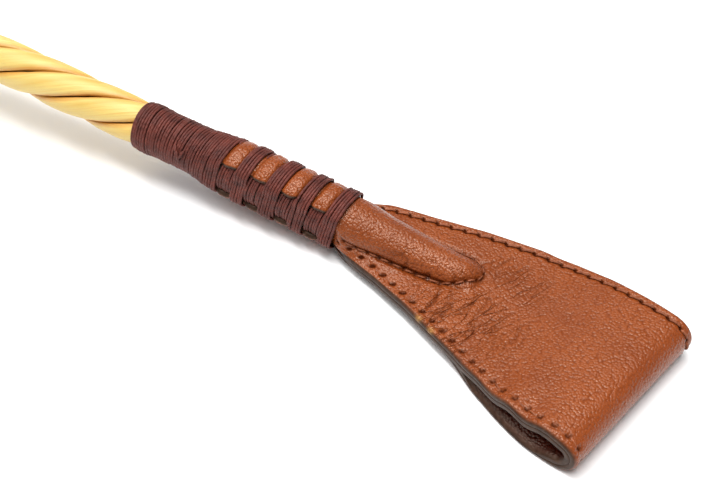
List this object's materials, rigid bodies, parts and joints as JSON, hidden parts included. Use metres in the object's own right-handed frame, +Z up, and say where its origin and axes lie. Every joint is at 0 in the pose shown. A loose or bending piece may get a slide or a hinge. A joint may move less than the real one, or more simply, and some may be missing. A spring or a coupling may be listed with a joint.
{
  "type": "riding crop",
  "caption": "Straight twisted-strand riding crop with a folded stitched leather keeper bound to the tip, a leather grip and a wrist loop.",
  "frame": {"origin": "centre of the bounding box at the floor the crop lies on", "axes": "+X along the crop toward the keeper at its tip, +Z up, keeper lying flat on the floor"},
  "size_m": [0.8086, 0.0624, 0.0361],
  "materials": {
    "keeper_leather": "tan vegetable leather, semi-gloss, dark painted edges",
    "keeper_lining": "plain leather, matt",
    "keeper_thread": "waxed thread",
    "waxed_thread": "reddish-brown waxed thread, satin",
    "strand_fibre": "straw-yellow varnished fibre, satin",
    "rod_fibre": "plain",
    "grip_core_wood": "raw wood",
    "grip_leather": "tan leather, satin",
    "grip_thread": "waxed thread",
    "brass_fitting": "polished",
    "loop_leather": "tan leather, satin"
  },
  "bodies": {
    "crop": {"butt_cap": "brass_fitting", "core_seam_stitching": "keeper_thread", "edge_stitching_far_root_bottom": "keeper_thread", "edge_stitching_far_root_top": "keeper_thread", "edge_stitching_near_root_bottom": "keeper_thread", "edge_stitching_near_root_top": "keeper_thread", "grip_collar": "brass_fitting", "grip_core": "grip_core_wood", "grip_leather": "grip_leather", "grip_seam_stitching": "grip_thread", "grip_whipping_front": "waxed_thread", "grip_whipping_rear": "waxed_thread", "keeper_lining_root_bottom": "keeper_lining", "keeper_lining_root_top": "keeper_lining", "keeper_outer_root_bottom": "keeper_leather", "keeper_outer_root_top": "keeper_leather", "loop_end_far": "loop_leather", "loop_end_near": "loop_leather", "loop_rivet": "brass_fitting", "shaft_strand_1": "strand_fibre", "shaft_strand_2": "strand_fibre", "shaft_strand_3": "strand_fibre", "shaft_strand_4": "strand_fibre", "spine_rod": "rod_fibre", "tip_whipping_band_1": "waxed_thread", "tip_whipping_band_2": "waxed_thread", "tip_whipping_band_3": "waxed_thread", "tip_whipping_band_4": "waxed_thread", "tip_whipping_main": "waxed_thread", "tip_whipping_under_1": "waxed_thread", "tip_whipping_under_2": "waxed_thread", "tip_whipping_under_3": "waxed_thread", "tip_whipping_under_4": "waxed_thread"},
    "keeper_tip": {"edge_stitching_far_flap": "keeper_thread", "edge_stitching_near_flap": "keeper_thread", "keeper_lining_flap": "keeper_lining", "keeper_outer_flap": "keeper_leather"},
    "strap_loop": {"wrist_loop": "loop_leather"}
  },
  "joints": [
    {"name": "keeper_bend", "type": "hinge", "parent": "crop", "child": "keeper_tip", "pos_m": [0.36283, -0.00251, 0.0028], "axis": [0.2351, 0.972, 0], "range_deg": [-40, 40], "stiffness_Nm_per_rad": 0.02},
    {"name": "loop_swing", "type": "hinge", "parent": "crop", "child": "strap_loop", "pos_m": [-0.21841, 0.00049, 0.01209], "axis": [0, 0, 1], "range_deg": [-60, 60]}
  ]
}
